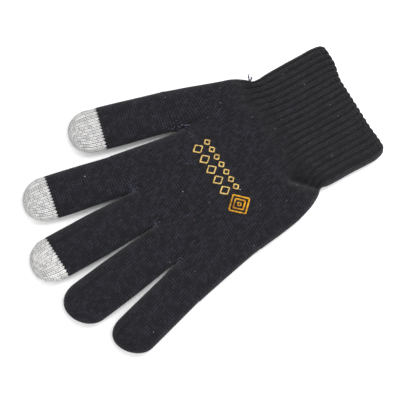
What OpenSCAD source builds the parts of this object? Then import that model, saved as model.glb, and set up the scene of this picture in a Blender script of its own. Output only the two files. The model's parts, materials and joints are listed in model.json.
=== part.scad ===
/* [Shell] */
// Thickness of the glove as it lies flat
lay_t = 9; // [8.5:0.5:12]
// Thickness of one layer of knit
knit_t = 1.6; // [1.2:0.1:1.8]
// Gap between two stall sections at a crease
crease_gap = 0.6; // [0.5:0.1:1]

/* [Hand] */
// Distance from the origin to the crease across the finger roots
root_y = 35; // [33:0.5:37]
// Half width of the hand at the crease across the finger roots
hand_half_w = 50.5; // [50:0.5:52]
// Distance from the origin back to the wrist crease
wrist_y = 60; // [58:0.5:62]

/* [Fingers] */
// Width of a stall at its root
root_w = 23.8; // [22:0.2:24]
// Width of a stall past its first crease
stall_w = 26.4; // [24:0.2:27]
// Width of the little finger's stall past its first crease
little_w = 24.6; // [23:0.2:25]

/* [Cuff] */
// Width of the cuff
cuff_w = 76.5; // [74:0.5:80]
// Length of rib from the wrist crease to the turn-back crease
cuff_fixed_len = 25; // [24:0.5:28]
// Length of rib past the turn-back crease
cuff_turn_len = 16.5; // [14:0.5:17]
// Length of the hem at the mouth of the cuff
hem_len = 4.5; // [3:0.5:6]
// How much thicker the hem's wall is than the rib's
hem_extra = 0.4; // [0:0.1:0.5]

/* [Emblem] */
// Length of the embroidered band across the back of the hand
emblem_len = 50; // [40:1:56]
// Height of the large diamond at the band's end
diamond_h = 11; // [8:0.5:13]
// How far the embroidery stands proud of the knit
stitch_proud = 0.6; // [0.4:0.1:1]

/* [Hidden] */
$fn = 48;

BLACK_YARN = "#2b2a30";
RIB_YARN = "#2f2f33";
SILVER_YARN = "#cfcdca";
GOLD_THREAD = "#c8932f";
ELASTIC = "#1d1d1f";
BACKING = "#ece9e2";

// Each stall: root x, root y, splay from +Y, width past the first crease, base, middle and tip lengths
THUMB = [48.6, -7.4, 15, stall_w, 19, 20, 18];
INDEX = [27.2, root_y, 11.5, stall_w, 21.5, 19.8, 17];
MIDDLE = [2.7, root_y, -1, stall_w, 28.5, 27, 15.5];
RING = [-22.1, root_y, -9, stall_w, 27, 24, 18.3];
LITTLE = [-48.2, root_y, -16.5, little_w, 21.5, 18, 17.3];

hand_mid_x = -10.4;
half_gap = crease_gap / 2;
pocket_t = lay_t - 2 * knit_t;
cuff_x = 2.2;
cuff_knit_t = 1.7;
turn_y = -wrist_y - cuff_fixed_len;
hem_y = turn_y - cuff_turn_len;
elastic_t = 0.5;
elastic_len = 1.2;
backing_t = 0.6;
web_w = 1.4;
web_len = 5;
big = 400;

// A point beside a stall's root: side is -1 for the little finger's side and 1 for the thumb's
function root_corner(f, side, w, back) =
  [f[0] + side * w / 2 * cos(f[2]) - back * sin(f[2]),
   f[1] - side * w / 2 * sin(f[2]) - back * cos(f[2])];

thumb_outer = root_corner(THUMB, 1, root_w, half_gap);
thumb_inner = root_corner(THUMB, -1, root_w, half_gap);
front_y = root_y - half_gap;
hand_back_y = -wrist_y + half_gap;
index_front = [hand_mid_x + hand_half_w - 0.4, front_y];
little_front = [hand_mid_x - hand_half_w, front_y];

// The sides of the hand, from the wrist forward
little_side = [
  [-36, hand_back_y], [-45.4, -41], [-48.5, -26], [-50.8, -8], [-55.2, 11.2], little_front
];
thumb_side = [[40.4, hand_back_y], [47, -50], [53, -34], thumb_outer];
index_side = [thumb_inner + [-0.5, 0], index_front];

function reversed(list) = [for (i = [len(list) - 1:-1:0]) list[i]];
function shifted(list, dx) = [for (p = list) [p[0] + dx, p[1]]];

hand_outline = concat(thumb_side, index_side, reversed(little_side));

module stadium(w, t) {
  square([w - t, t], center = true);
  for (side = [-1, 1])
    translate([side * (w - t) / 2, 0])
      circle(d = t);
}

// A flattened tube along +Y, from y0 to y1, open at both ends
module flat_tube(w, t, wall, y0, y1) {
  translate([0, y0, lay_t / 2])
    rotate([-90, 0, 0])
      linear_extrude(y1 - y0)
        difference() {
          stadium(w, t);
          stadium(w - 2 * wall, t - 2 * wall);
        }
}

// A flattened rod along +Y with a round end at y1
module round_end(w, t, y0, y1) {
  mid_y = y1 - w / 2;
  intersection() {
    union() {
      translate([0, mid_y - w, lay_t / 2])
        rotate([-90, 0, 0])
          linear_extrude(w)
            stadium(w, t);
      translate([0, mid_y, lay_t / 2])
        rotate_extrude($fn = 64) {
          translate([0, -t / 2])
            square([(w - t) / 2, t]);
          intersection() {
            translate([(w - t) / 2, 0])
              circle(d = t);
            translate([(w - t) / 2, -t / 2])
              square([t, t]);
          }
        }
    }
    translate([-big / 2, y0, -big / 2])
      cube(big);
  }
}

// Puts what is drawn along +Y onto a stall's centre line
module on_stall(f) {
  translate([f[0], f[1], 0])
    rotate([0, 0, -f[2]])
      children();
}

// The first section of a stall, cut square to the hand at the root crease
module base_stall(f) {
  color(BLACK_YARN)
    difference() {
      on_stall(f)
        flat_tube(root_w, lay_t, knit_t, -root_w / 2, f[4] - half_gap);
      translate([-big / 2, f[1] + half_gap - big, -big / 2])
        cube(big);
    }
}

module middle_stall(f) {
  color(BLACK_YARN)
    on_stall(f)
      flat_tube(f[3], lay_t, knit_t, f[4] + half_gap, f[4] + f[5] - half_gap);
}

module tip(f, y0) {
  y1 = f[4] + f[5] + f[6];
  on_stall(f)
    difference() {
      round_end(f[3], lay_t, y0, y1);
      round_end(f[3] - 2 * knit_t, pocket_t, y0 - 1, y1 - knit_t);
    }
}

module tip_after_crease(f) {
  tip(f, f[4] + f[5] + half_gap);
}

// One layer of the hand, from z0 up
module hand_layer(z0) {
  translate([0, 0, z0])
    linear_extrude(knit_t)
      polygon(hand_outline);
}

// The fold of the knit that closes the pocket along one side of the hand; inward is its way in along X
module side_edge(points, inward) {
  translate([0, 0, knit_t])
    linear_extrude(pocket_t)
      polygon(concat(points, reversed(shifted(points, inward * knit_t))));
}

module web(x) {
  color(BLACK_YARN)
    translate([x - web_w / 2, front_y - web_len, knit_t])
      cube([web_w, web_len, pocket_t]);
}

// Middle of the gap between two neighbouring stalls at the root crease
function gap_x(near, far) =
  (near[0] - root_w / 2 / cos(near[2]) + far[0] + root_w / 2 / cos(far[2])) / 2;

module diamond(w, h) {
  polygon([[-w / 2, 0], [0, -h / 2], [w / 2, 0], [0, h / 2]]);
}

module back_panel() {
  color(BLACK_YARN)
    hand_layer(lay_t - knit_t);
}

module palm_panel() {
  color(BLACK_YARN)
    hand_layer(0);
}

module thumb_side_edge() {
  color(BLACK_YARN)
    side_edge(thumb_side, -1);
}

module index_side_edge() {
  foot = index_side[0] + [0, web_len];
  color(BLACK_YARN)
    side_edge([foot, index_front], -1);
}

module little_side_edge() {
  color(BLACK_YARN)
    side_edge(little_side, 1);
}

module thumb_web() {
  color(BLACK_YARN)
    translate([index_side[0][0] - web_w, index_side[0][1], knit_t])
      cube([web_w, web_len - 0.1, pocket_t]);
}

module index_middle_web() {
  web(gap_x(INDEX, MIDDLE));
}

module middle_ring_web() {
  web(gap_x(MIDDLE, RING));
}

module ring_little_web() {
  web(gap_x(RING, LITTLE));
}

// A row of small diamond outlines that ends in a large one within another
module emblem_embroidery() {
  small_count = 5;
  small_h = diamond_h * 0.55;
  line_w = 1.3;
  large_x = -4 - emblem_len / 2 + diamond_h / 2;
  pitch = (emblem_len - diamond_h) / small_count;
  color(GOLD_THREAD)
    translate([0, -13, lay_t])
      linear_extrude(stitch_proud) {
        for (i = [1:small_count])
          translate([large_x + diamond_h / 2 + (i - 0.4) * pitch, 0])
            difference() {
              diamond(small_h * 1.2, small_h);
              diamond(small_h * 1.2 - 3 * line_w, small_h - 2.5 * line_w);
            }
        translate([large_x, 0]) {
          difference() {
            diamond(diamond_h, diamond_h);
            diamond(diamond_h - 3 * line_w, diamond_h - 3 * line_w);
          }
          diamond(2.6 * line_w, 2.6 * line_w);
        }
      }
}

// The stabiliser patch inside the hand, under the embroidery
module emblem_backing() {
  color(BACKING)
    translate([-4 - emblem_len / 2 - 2, -13 - diamond_h / 2 - 2, lay_t - knit_t - backing_t])
      cube([emblem_len + 4, diamond_h + 4, backing_t]);
}

// A short loose end of yarn at the wrist, on the thumb's side
module yarn_tail() {
  color(BLACK_YARN)
    translate([40.6, -wrist_y + 1.2, lay_t - knit_t / 2])
      rotate([0, 90, 20])
        cylinder(d = 0.9, h = 6);
}

module cuff_tube(w, t, wall, y0, y1) {
  translate([cuff_x, 0, 0])
    flat_tube(w, t, wall, y0, y1);
}

module elastic_ring(y) {
  cuff_tube(cuff_w - 2 * cuff_knit_t, lay_t - 2 * cuff_knit_t, elastic_t, y, y + elastic_len);
}

module cuff_rib() {
  color(RIB_YARN)
    cuff_tube(cuff_w, lay_t, cuff_knit_t, turn_y + half_gap, -wrist_y - half_gap);
}

module cuff_elastic() {
  color(ELASTIC)
    for (i = [0:2])
      elastic_ring(-wrist_y - 3.5 - i * 8);
}

module turnback_rib() {
  color(RIB_YARN)
    cuff_tube(cuff_w, lay_t, cuff_knit_t, hem_y, turn_y - half_gap);
}

module cuff_hem() {
  color(RIB_YARN)
    cuff_tube(cuff_w, lay_t, cuff_knit_t + hem_extra, hem_y - hem_len, hem_y);
}

module hem_elastic() {
  color(ELASTIC)
    elastic_ring(hem_y + 2);
}

// The thumb's base turns about a crease square to the thumb
module thumb_base_stall() {
  color(BLACK_YARN)
    on_stall(THUMB)
      flat_tube(root_w, lay_t, knit_t, half_gap, THUMB[4] - half_gap);
}

module thumb_end_stall() {
  color(BLACK_YARN)
    on_stall(THUMB)
      flat_tube(THUMB[3], lay_t, knit_t, THUMB[4] + half_gap, THUMB[4] + THUMB[5]);
}

module thumb_conductive_tip() {
  color(SILVER_YARN)
    tip(THUMB, THUMB[4] + THUMB[5]);
}

back_panel();
palm_panel();
thumb_side_edge();
index_side_edge();
little_side_edge();
thumb_web();
index_middle_web();
middle_ring_web();
ring_little_web();
emblem_embroidery();
emblem_backing();
yarn_tail();
cuff_rib();
cuff_elastic();
turnback_rib();
cuff_hem();
hem_elastic();
thumb_base_stall();
thumb_end_stall();
thumb_conductive_tip();
base_stall(INDEX);  // index_base_stall
middle_stall(INDEX);  // index_middle_stall
color(SILVER_YARN) tip_after_crease(INDEX);  // index_conductive_tip
base_stall(MIDDLE);  // middle_base_stall
middle_stall(MIDDLE);  // middle_middle_stall
color(SILVER_YARN) tip_after_crease(MIDDLE);  // middle_conductive_tip
base_stall(RING);  // ring_base_stall
middle_stall(RING);  // ring_middle_stall
color(BLACK_YARN) tip_after_crease(RING);  // ring_tip_stall
base_stall(LITTLE);  // little_base_stall
middle_stall(LITTLE);  // little_middle_stall
color(BLACK_YARN) tip_after_crease(LITTLE);  // little_tip_stall
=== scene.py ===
"""Looks of a knitted touchscreen glove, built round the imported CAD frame.

Every surface is a grid of rows along the knit and columns round it. Six columns make one wale, a vertical
line of V-shaped stitches, and three rows make one course. Lengths are in millimetres until a mesh is made.
"""

import json
import logging
import math
from dataclasses import dataclass, field
from enum import Enum

import bpy
import numpy as np
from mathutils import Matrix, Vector


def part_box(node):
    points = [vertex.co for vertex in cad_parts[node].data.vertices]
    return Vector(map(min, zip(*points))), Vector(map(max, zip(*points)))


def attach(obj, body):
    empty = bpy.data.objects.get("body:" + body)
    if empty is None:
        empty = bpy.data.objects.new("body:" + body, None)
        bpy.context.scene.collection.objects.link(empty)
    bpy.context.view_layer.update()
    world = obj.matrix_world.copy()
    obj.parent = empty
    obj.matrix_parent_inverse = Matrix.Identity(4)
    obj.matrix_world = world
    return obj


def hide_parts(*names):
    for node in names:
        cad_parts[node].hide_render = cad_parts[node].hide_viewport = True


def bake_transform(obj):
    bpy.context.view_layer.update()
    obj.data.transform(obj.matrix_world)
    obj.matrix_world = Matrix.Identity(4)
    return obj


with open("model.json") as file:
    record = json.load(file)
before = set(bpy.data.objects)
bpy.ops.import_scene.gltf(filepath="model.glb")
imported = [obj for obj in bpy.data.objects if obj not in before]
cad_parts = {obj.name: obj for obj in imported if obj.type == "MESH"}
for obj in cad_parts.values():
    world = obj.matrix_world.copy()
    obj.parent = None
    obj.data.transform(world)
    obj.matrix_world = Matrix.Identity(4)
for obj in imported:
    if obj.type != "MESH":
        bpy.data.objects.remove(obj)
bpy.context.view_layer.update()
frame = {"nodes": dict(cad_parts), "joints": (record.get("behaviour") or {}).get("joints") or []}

LOG = logging.getLogger("glove")
M_PER_MM = 0.001
BASE_Z = 4.45  # height of the middle plane of the knit over the floor, in millimetres
FLOOR_GAP = 0.03  # lowest that any point of the knit lies, in millimetres
Array = np.ndarray
Outline = tuple[tuple[float, float], ...]
Bar = tuple[tuple[float, float], tuple[float, float]]


# ---------------------------------------------------------------- frame

def joint(name: str) -> dict:
    """The joint of that name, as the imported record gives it."""
    return next(j for j in frame["joints"] if j["name"] == name)


def joint_mm(name: str) -> Array:
    """The point that a joint turns about, in millimetres."""
    return np.array(joint(name)["pos_m"]) / M_PER_MM


def box_mm(node: str) -> tuple[Array, Array]:
    """The lowest and highest corners of a CAD node's box, in millimetres."""
    low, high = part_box(node)
    return np.array(low) / M_PER_MM, np.array(high) / M_PER_MM


# ---------------------------------------------------------------- shapes

def ease(t: Array | float) -> Array:
    """Eases from 0 to 1: the cubic 3t^2 - 2t^3 of t held between 0 and 1.

    Args:
        t: where each value is on its way.

    Returns:
        The eased values.
    """
    t = np.clip(t, 0.0, 1.0)
    return t * t * (3.0 - 2.0 * t)


def through(knots: Array, at: Array) -> Array:
    """Draws a smooth line through a few points.

    It is a cubic Hermite whose slope at each point is that between the point's neighbours.

    Args:
        knots: rows of (place, value), with the places rising.
        at: places to read.

    Returns:
        The values there.
    """
    x, y = np.asarray(knots, float).T
    slope = np.gradient(y, x)
    i = np.clip(np.searchsorted(x, at) - 1, 0, len(x) - 2)
    step = x[i + 1] - x[i]
    t = np.clip((at - x[i]) / step, 0.0, 1.0)
    return (
        (2 * t**3 - 3 * t**2 + 1) * y[i]
        + (t**3 - 2 * t**2 + t) * step * slope[i]
        + (3 * t**2 - 2 * t**3) * y[i + 1]
        + (t**3 - t**2) * step * slope[i + 1]
    )


def lying_section(
    c: Array, half_w: Array, thick: Array, round_w: Array, crown: float
) -> tuple[Array, Array]:
    """Upper half of the section of a flat knitted tube: a quarter ellipse, a flat, a quarter ellipse.

    c runs from 0 at the left fold over the top to 1 at the right fold, evenly by length. A crown lowers the
    flat towards the folds by the square of the distance from the middle.

    Args:
        c: places along the half section.
        half_w: half the tube's width.
        thick: the tube's thickness.
        round_w: how far in from each fold the round reaches.
        crown: share of the thickness that the flat loses at the folds.

    Returns:
        Distance from the middle line, and height over the middle plane.
    """
    quarter = math.pi / 2 * np.sqrt((round_w**2 + (thick / 2) ** 2) / 2)
    flat = 2 * (half_w - round_w)
    total = 2 * quarter + flat
    s = c * total
    left = np.clip(s / quarter, 0, 1) * math.pi / 2
    right = np.clip((total - s) / quarter, 0, 1) * math.pi / 2
    along = np.clip(s - quarter, 0, flat)
    x = -half_w + round_w * (1 - np.cos(left)) + along + round_w * np.cos(right)
    z = thick / 2 * np.sin(left) * np.sin(right) * (1 - crown * (x / half_w) ** 2)
    return x, z


@dataclass(frozen=True)
class Gauge:
    """How fine the knit is.

    The real courses are nearer 1.1 mm apart: they are drawn coarser here so that the stitches show.

    Attributes:
        course: height of a stitch along the knit, in millimetres.
        wales_per_side: wales over one face of a stall.
        cols_per_wale: columns of the grid to a wale.
        rows_per_course: rows of the grid to a course.
        relief: height of a stitch over the groove, in millimetres.
        lean: how far a V's point lies behind its ends, in courses.
        wales_per_rib: wales to a rib of the cuff.
        rib_relief: height of a rib, in millimetres.
    """

    course: float = 1.5
    wales_per_side: int = 16
    cols_per_wale: int = 6
    rows_per_course: int = 3
    relief: float = 0.32
    lean: float = 0.9
    wales_per_rib: int = 4
    rib_relief: float = 0.95

    @property
    def cols(self) -> int:
        """Columns over one side of a stall."""
        return self.wales_per_side * self.cols_per_wale

    def rows(self, length: float) -> int:
        """Rows of a stretch that is length long."""
        return max(1, round(length / self.course)) * self.rows_per_course

    def lean_of(self, wale: Array) -> Array:
        """Shift along the knit, in courses, that turns straight rows into rows of V's.

        The middle of each stitch lies back and its edges lie forward, in a straight line between.
        """
        fx = np.abs(wale % 1.0 - 0.5)
        return self.lean * (2 * fx - 0.5)

    def stitch(self, wale: Array, course: Array) -> Array:
        """Height of a stitch from 0 to 1: two legs, raised cosines across, that swell once a course."""
        fx = np.abs(wale % 1.0 - 0.5)
        legs = 0.5 + 0.5 * np.cos(4 * math.pi * (fx - 0.25))
        middle = 0.3 * np.clip(1 - 6 * fx, 0, 1)
        swell = 0.5 + 0.5 * np.cos(2 * math.pi * course)
        return np.maximum(legs, middle) * (0.4 + 0.6 * swell)

    def rib(self, wale: Array) -> Array:
        """Height of a rib from 0 to 1: half an ellipse across each rib, with a sharp groove between two."""
        f = (wale / self.wales_per_rib) % 1.0 - 0.5
        return np.sqrt(np.clip(1 - (2 * f) ** 2, 0, 1))


GAUGE = Gauge()


@dataclass(frozen=True)
class Fold:
    """A soft ridge or dent in the upper layer, as a bell curve across a straight run.

    Attributes:
        start: one end, in millimetres.
        end: the other end.
        width: distance at which it has mostly died away.
        height: its height, below 0 for a dent.
    """

    start: tuple[float, float]
    end: tuple[float, float]
    width: float
    height: float

    def lift(self, x: Array, y: Array) -> Array:
        """Height of the fold at each place: a bell curve of the distance to the run's nearest point."""
        a = np.array(self.start)
        run = np.array(self.end) - a
        t = np.clip(((x - a[0]) * run[0] + (y - a[1]) * run[1]) / (run @ run), 0, 1)
        far2 = (x - a[0] - t * run[0]) ** 2 + (y - a[1] - t * run[1]) ** 2
        return self.height * np.exp(-far2 / (2 * (self.width / 2) ** 2))


@dataclass(frozen=True)
class Drape:
    """How the empty knit sinks and puckers. It is one field of place, so pieces that meet stay together.

    Attributes:
        folds: ridges and dents.
        waves: slow waves, each as its two wave numbers, its phase and its height.
        still_z: height up to which nothing is lifted.
        lifted_over: how far over that the lift is whole.
        mouth_y: where the cuff starts to be drawn back.
        mouth_run: how far on it is drawn back wholly.
        mouth_right: x at which the slant of the mouth starts.
        mouth_width: width of the mouth.
        mouth_slant: how far the mouth slants back towards the little finger.
        mouth_dip: how much further it dips past its first part.
    """

    folds: tuple[Fold, ...] = (
        Fold((-35, -57), (-25, -48), 4.5, -3.8),
        Fold((-43, -48), (-22, -39), 6, 1.2),
        Fold((-28, -62), (-18, -56), 4, 0.8),
        Fold((40, -56), (29, -50), 6, -2.1),
        Fold((46, -47), (30, -41), 6, 0.9),
        Fold((36, -10), (28, -24), 7, -0.8),
        Fold((14.9, 31), (13, 20), 4, -0.5),
        Fold((-9.7, 31), (-9, 20), 4, -0.5),
        Fold((-35.1, 31), (-32, 20), 4, -0.5),
        Fold((-52, 0), (-48, -24), 6, 0.3),
    )
    waves: tuple[tuple[float, float, float, float], ...] = (
        (0.11, 0.05, 0.4, 0.16),
        (-0.06, 0.13, 1.9, 0.14),
        (0.19, -0.11, 3.1, 0.08),
        (0.07, 0.24, 5.0, 0.06),
    )
    still_z: float = 2.5
    lifted_over: float = 5.0
    mouth_y: float = -80.0
    mouth_run: float = 26.0
    mouth_right: float = 40.0
    mouth_width: float = 76.0
    mouth_slant: float = 2.6
    mouth_dip: float = 2.7

    def settle(self, points: Array) -> Array:
        """Moves points with the drape: the upper face takes the whole lift and the face on the floor none.

        Each wave is a sine of the place, and each fold is a bell curve. The mouth of the cuff is drawn back
        evenly from the thumb's side to the little finger's, and by a dip that eases in over a fifth of the
        width and loses a quarter near the far side.

        Args:
            points: points in millimetres, with x, y and z last.

        Returns:
            The moved points.
        """
        x, y, z = points[..., 0], points[..., 1], points[..., 2]
        lift = sum(a * np.sin(kx * x + ky * y + phase) for kx, ky, phase, a in self.waves)
        lift = lift + sum(f.lift(x, y) for f in self.folds)
        moved = points.copy()
        moved[..., 2] = z + lift * ease((z - self.still_z) / self.lifted_over)
        over = (self.mouth_right - x) / self.mouth_width
        dip = ease((over - 0.15) / 0.2) * (1 - 0.25 * ease((over - 0.75) / 0.2))
        drawn = self.mouth_slant * over + self.mouth_dip * dip
        moved[..., 1] = y + drawn * ease((self.mouth_y - y) / self.mouth_run)
        return moved


DRAPE = Drape()


def rest_on_floor(points: Array) -> Array:
    """Flattens whatever would sink below the floor: no point's height is under a hair's breadth."""
    points[..., 2] = np.maximum(points[..., 2], FLOOR_GAP)
    return points


def normals_of(points: Array, wrap: bool) -> Array:
    """Outward normals of a grid: the cross product of the steps along its columns and along its rows.

    Args:
        points: grid of rows and columns.
        wrap: whether the last column joins the first.

    Returns:
        Unit normals.
    """
    if wrap:
        across = np.roll(points, -1, 1) - np.roll(points, 1, 1)
    else:
        across = np.gradient(points, axis=1)
    along = np.gradient(points, axis=0)
    n = np.cross(across, along)
    return n / np.maximum(np.linalg.norm(n, axis=-1, keepdims=True), 1e-9)


@dataclass
class Cloth:
    """A grid of knitted surface with what its finish reads.

    Attributes:
        points: rows by columns of points in millimetres.
        wale: each column's place in wales, with one more column at the end when it wraps.
        course: each row's place in courses.
        relief: height of the stitch from 0 in a groove to 1 on a leg, which the knit finish paints from shade
            to highlight.
        wrap: whether the last column joins the first.
        pole_first: whether the first row closes on one point.
        pole_last: whether the last row closes on one point.
    """

    points: Array
    wale: Array
    course: Array
    relief: Array
    wrap: bool = True
    pole_first: bool = False
    pole_last: bool = False

    def part(self, first: int, last: int) -> "Cloth":
        """Cuts out the rows from first to last, both kept, so that two neighbours share a row.

        Args:
            first: first row.
            last: last row.

        Returns:
            The stretch between them.
        """
        keep = slice(first, last + 1)
        return Cloth(
            self.points[keep], self.wale, self.course[keep], self.relief[keep], self.wrap,
            self.pole_first and first == 0,
            self.pole_last and last == len(self.course) - 1,
        )

    def mesh(self, name: str) -> bpy.types.Object:
        """Makes the mesh object, with a UV map in wales and courses and the relief as an attribute, which the
        knit finish paints as shade and highlight.

        Args:
            name: the piece's name.

        Returns:
            The new object, in metres.
        """
        rows, cols = self.points.shape[:2]
        spans = cols if self.wrap else cols - 1
        r, c = np.meshgrid(np.arange(rows - 1), np.arange(spans), indexing="ij")
        nxt = (c + 1) % cols
        quads = np.stack([r * cols + c, r * cols + nxt, (r + 1) * cols + nxt, (r + 1) * cols + c], -1)
        faces = quads.reshape(-1, 4).tolist()
        u0, u1 = self.wale[c], self.wale[c + 1]
        v0, v1 = self.course[r], self.course[r + 1]
        uv = np.stack([u0, v0, u1, v0, u1, v1, u0, v1], -1).reshape(-1, 2)
        points = [self.points.reshape(-1, 3)]
        relief = [self.relief.reshape(-1)]
        ends = [(self.pole_first, 0, 0, False), (self.pole_last, (rows - 1) * cols, rows - 1, True)]
        ring = np.arange(spans)
        for wanted, base, row, last in ends:
            if not wanted:
                continue
            tip = sum(len(p) for p in points)
            points.append(self.points[row].mean(0)[None])
            relief.append(self.relief[row].mean()[None])
            a, b = base + ring, base + (ring + 1) % cols
            fan = np.stack([a, b, np.full(spans, tip)] if last else [b, a, np.full(spans, tip)], -1)
            faces += fan.tolist()
            v = np.full(spans, self.course[row])
            ua, ub = self.wale[ring], self.wale[ring + 1]
            pair = (ua, ub) if last else (ub, ua)
            uv = np.concatenate([uv, np.stack([pair[0], v, pair[1], v, (ua + ub) / 2, v], -1).reshape(-1, 2)])
        data = bpy.data.meshes.new(name)
        data.from_pydata(np.concatenate(points) * M_PER_MM, [], faces)
        data.uv_layers.new(name="Knit").data.foreach_set("uv", uv.astype(np.float32).ravel())
        stored = data.attributes.new("relief", "FLOAT", "POINT")
        stored.data.foreach_set("value", np.concatenate(relief).astype(np.float32))
        data.shade_smooth()
        obj = bpy.data.objects.new(name, data)
        bpy.context.scene.collection.objects.link(obj)
        return obj


def sweep(path: Array, radius: Array | float, sides: int, closed: bool, twist: float = 0.0) -> Cloth:
    """Carries a circle along a path: each ring stands on two directions square to the path.

    Args:
        path: points of the centre line.
        radius: radius of the yarn, or one for each point.
        sides: points round the circle.
        closed: whether the path's end joins its start.
        twist: turns of the relief, which the knit finish paints as highlight and shade, for each millimetre.

    Returns:
        The tube, with its ends closed on a point unless the path is closed.
    """
    if closed:
        path = np.concatenate([path, path[:1]])
        heading = np.roll(path[:-1], -1, 0) - np.roll(path[:-1], 1, 0)
        heading = np.concatenate([heading, heading[:1]])
    else:
        heading = np.gradient(path, axis=0)
    heading /= np.linalg.norm(heading, axis=1, keepdims=True)
    # A little off the vertical, so that no path runs along it.
    up = np.array([0.0, 0.0, 1.0]) + 0.01 * np.array([1.0, 0.7, 0.0])
    side = np.cross(heading, up)
    side /= np.linalg.norm(side, axis=1, keepdims=True)
    rise = np.cross(side, heading)
    turn = np.linspace(0, 2 * math.pi, sides, endpoint=False)
    size = np.broadcast_to(np.asarray(radius, float), (len(path),))[:, None, None]
    ring = np.cos(turn)[None, :, None] * side[:, None] - np.sin(turn)[None, :, None] * rise[:, None]
    length = np.concatenate([[0], np.cumsum(np.linalg.norm(np.diff(path, axis=0), axis=1))])
    return Cloth(
        path[:, None] + size * ring,
        np.linspace(0, 1, sides + 1),
        length,
        # The relief rises and falls with the twist, painting highlight and shade along the plies; with no
        # twist it is all highlight.
        np.ones((len(path), sides)) * (0.7 + 0.3 * np.cos(twist * length))[:, None],
        wrap=True, pole_first=not closed, pole_last=not closed,
    )


# ---------------------------------------------------------------- finishes

def linear(hex_colour: str) -> tuple[float, float, float, float]:
    """Turns an sRGB hex colour into linear light.

    Args:
        hex_colour: such as "#2b2a30".

    Returns:
        Red, green, blue and an alpha of 1.
    """
    parts = [int(hex_colour[i : i + 2], 16) / 255 for i in (1, 3, 5)]
    return (*[p / 12.92 if p <= 0.04045 else ((p + 0.055) / 1.055) ** 2.4 for p in parts], 1.0)


def feed(tree: bpy.types.NodeTree, node: bpy.types.Node, **inputs: object) -> bpy.types.Node:
    """Gives a node its inputs.

    Args:
        tree: the material's node tree.
        node: the node.
        **inputs: a value, an output socket, or a node for its first output. Each goes by the input's name,
            with "_" for a space in it, or by its number as i0, i1 and so on.

    Returns:
        The node.
    """
    for key, value in inputs.items():
        spot = int(key[1:]) if key[0] == "i" and key[1:].isdigit() else key.replace("_", " ")
        source = value.outputs[0] if isinstance(value, bpy.types.Node) else value
        if isinstance(source, bpy.types.NodeSocket):
            tree.links.new(source, node.inputs[spot])
        else:
            node.inputs[spot].default_value = source
    return node


def add(
    tree: bpy.types.NodeTree, kind: str, settings: dict | None = None, **inputs: object
) -> bpy.types.Node:
    """Adds a node, sets it and joins it up.

    Args:
        tree: the material's node tree.
        kind: the node's type.
        settings: properties of the node and, for a colour ramp, its stops: places and their hex colours.
        **inputs: the node's inputs, as feed takes them.

    Returns:
        The node.
    """
    node = tree.nodes.new(kind)
    for key, value in (settings or {}).items():
        if key != "stops":
            setattr(node, key, value)
            continue
        marks = node.color_ramp.elements
        while len(marks) < len(value):
            marks.new(0.5)
        for mark, (place, colour) in zip(marks, value):
            mark.position = place
            mark.color = linear(colour)
    return feed(tree, node, **inputs)


def blank(name: str) -> tuple[bpy.types.Material, bpy.types.NodeTree, bpy.types.Node]:
    """Makes a material with one principled shader.

    Args:
        name: the finish's name.

    Returns:
        The material, its tree and the shader.
    """
    material = bpy.data.materials.new(name)
    material.use_nodes = True
    return material, material.node_tree, material.node_tree.nodes["Principled BSDF"]


def per_mm(period: float) -> float:
    """Scale of a noise on Object coordinates, in metres, that changes about every period millimetres."""
    return 1.0 / (period * M_PER_MM)


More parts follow.
